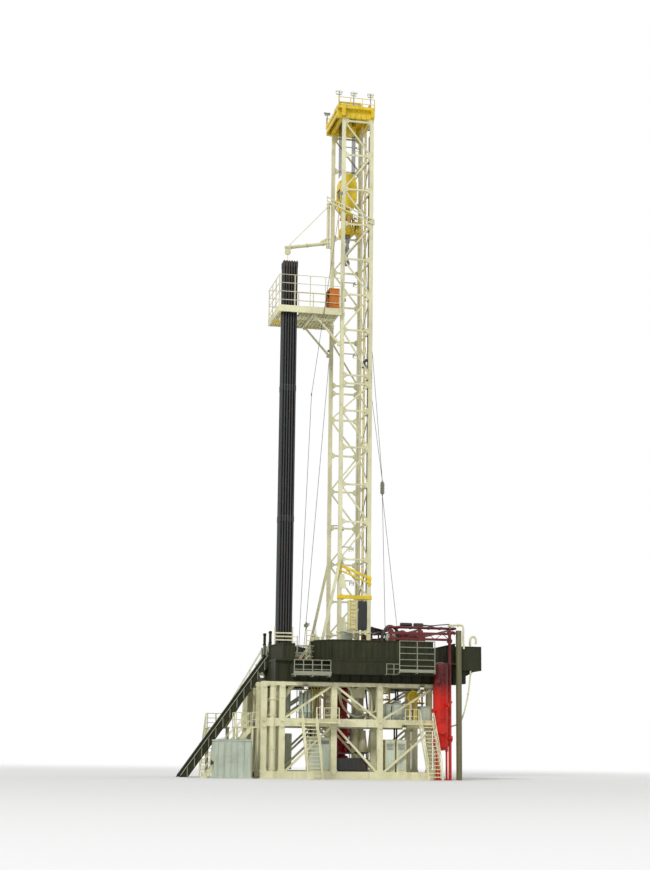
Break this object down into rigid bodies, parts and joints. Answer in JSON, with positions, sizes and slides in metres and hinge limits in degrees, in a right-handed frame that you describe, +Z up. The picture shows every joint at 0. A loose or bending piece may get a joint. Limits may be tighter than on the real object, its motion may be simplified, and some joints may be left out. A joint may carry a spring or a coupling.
{
  "type": "oil drilling rig, 1:2 scale model",
  "caption": "Land oil drilling rig with box substructure, lattice mast, racking board, pipe ramp, stairs, travelling block and top drive, at half size.",
  "frame": {"origin": "centre of the well at ground level, under the rotary table", "axes": "+X towards the drawworks, -X down the pipe ramp, +Y away from the side that the picture shows, +Z up"},
  "size_m": [10.1603, 6.2506, 24.95],
  "materials": {
    "cream_paint": "satin paint, dusty",
    "yellow_paint": "satin paint, worn edges",
    "olive_paint": "matt paint, dusty",
    "grey_green_paint": "satin paint",
    "red_paint": "gloss paint",
    "maroon_paint": "gloss paint",
    "deck_steel": "worn chequer plate",
    "bare_steel": "worn and oiled",
    "pipe_steel": "rusty mill scale",
    "wire_rope": "greased wire",
    "timber": "rough worn planks",
    "lamp_glass": "lit floodlight",
    "pale_tank_paint": "satin paint"
  },
  "bodies": {
    "root": {"near_lower_box": "cream_paint", "far_lower_box": "cream_paint", "near_upper_box": "cream_paint", "far_upper_box": "cream_paint", "base_spreaders": "olive_paint", "mid_decks": "deck_steel", "near_floor_girders": "olive_paint", "far_floor_girders": "olive_paint", "cross_girders": "olive_paint", "drill_floor": "deck_steel", "rotary_table": "bare_steel", "setback_mats": "timber", "side_walls": "olive_paint", "front_walls": "olive_paint", "setback_walls": "olive_paint", "rear_wall": "olive_paint", "guard_rails": "grey_green_paint", "lower_walkways": "grey_green_paint", "pipe_ramp": "olive_paint", "main_stair_lower": "cream_paint", "main_stair_upper": "cream_paint", "ramp_stair_lower": "cream_paint", "ramp_stair_upper": "cream_paint", "near_left_stair": "cream_paint", "near_right_stair": "cream_paint", "mast_shoes": "cream_paint", "mast_near_lower": "cream_paint", "mast_far_lower": "cream_paint", "mast_back_lower": "cream_paint", "mast_near_upper": "cream_paint", "mast_far_upper": "cream_paint", "mast_back_upper": "cream_paint", "mast_struts": "cream_paint", "guide_track": "cream_paint", "standpipe": "pipe_steel", "crown_frame": "yellow_paint", "crown_sheaves": "bare_steel", "crown_lamps": "lamp_glass", "racking_board": "cream_paint", "racking_fingers": "yellow_paint", "board_rails": "cream_paint", "board_braces": "cream_paint", "board_shelter": "yellow_paint", "drill_pipe_stands": "pipe_steel", "floodlight_beam": "cream_paint", "drilling_lines": "wire_rope", "drawworks": "maroon_paint", "service_gantry": "maroon_paint", "rear_house": "olive_paint", "gas_separator": "red_paint", "rear_post": "grey_green_paint", "blowout_preventer": "red_paint", "mud_vessel": "pale_tank_paint", "floor_blower": "yellow_paint", "control_cabinets": "cream_paint", "trip_tank": "pale_tank_paint"},
    "hoist": {"travelling_block": "yellow_paint", "top_drive": "yellow_paint"},
    "jib": {"jib_boom": "cream_paint"}
  },
  "joints": [
    {"name": "block_travel", "type": "slide", "parent": "root", "child": "hoist", "axis": [0, 0, 1], "range_m": [-13.3, 0.5], "deforming": ["drilling_lines"]},
    {"name": "jib_slew", "type": "hinge", "parent": "root", "child": "jib", "pos_m": [-0.5, 0.9, 19.65], "axis": [0, 0, 1], "range_deg": [-60, 60]}
  ]
}
